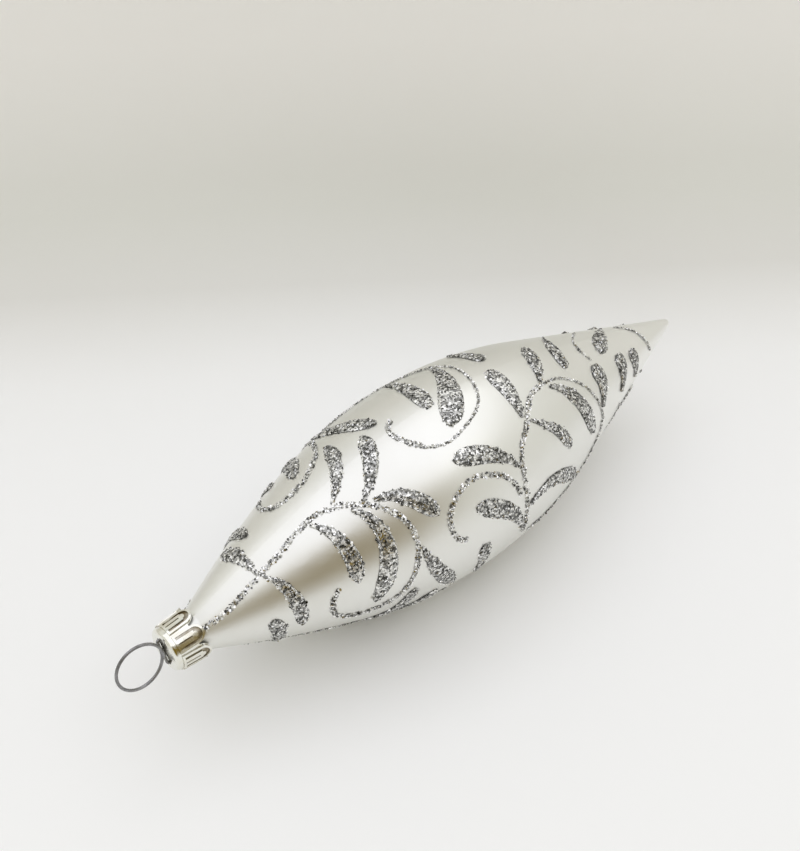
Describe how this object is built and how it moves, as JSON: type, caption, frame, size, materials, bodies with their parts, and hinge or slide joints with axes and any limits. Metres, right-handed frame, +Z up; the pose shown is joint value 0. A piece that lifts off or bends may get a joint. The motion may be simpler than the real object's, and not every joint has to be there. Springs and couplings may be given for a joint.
{
  "type": "olive ornament",
  "caption": "Hollow blown-glass olive ornament lying on its side, with a raised glitter scroll, a stamped crown cap that pulls off and a spring-wire hanging ring.",
  "frame": {"origin": "on the surface the ornament lies on, under the middle of its whole length", "axes": "+X along the ornament from the hanging ring to the tip, +Z up, +Y to the back"},
  "size_m": [0.1614, 0.0452, 0.0453],
  "materials": {
    "satin_glass": "satin silver lacquer, opaque",
    "cap_metal": "bright stamped sheet",
    "hanger_wire": "drawn spring wire",
    "glitter": "silver glitter set in glue"
  },
  "bodies": {
    "glass": {"glass_bauble": "satin_glass", "neck_scroll_1": "glitter", "neck_scroll_2": "glitter", "neck_scroll_3": "glitter", "neck_leaves_1": "glitter", "neck_leaves_2": "glitter", "neck_leaves_3": "glitter", "belly_scroll_1": "glitter", "belly_scroll_2": "glitter", "belly_leaves_1": "glitter", "belly_leaves_2": "glitter", "crest_scroll_1": "glitter", "crest_scroll_2": "glitter", "crest_leaves_1": "glitter", "crest_leaves_2": "glitter", "tip_sprig_1": "glitter", "tip_sprig_2": "glitter", "tip_sprig_3": "glitter", "tip_leaves_1": "glitter", "tip_leaves_2": "glitter", "tip_leaves_3": "glitter"},
    "cap": {"crown_cap": "cap_metal"},
    "hanger": {"wire_hanger": "hanger_wire"}
  },
  "joints": [
    {"name": "cap_pull", "type": "slide", "parent": "glass", "child": "cap", "axis": [-1, 0, 0], "range_m": [0, 0.018]},
    {"name": "hanger_lift", "type": "slide", "parent": "cap", "child": "hanger", "axis": [-1, 0, 0], "range_m": [0, 0.003]}
  ]
}
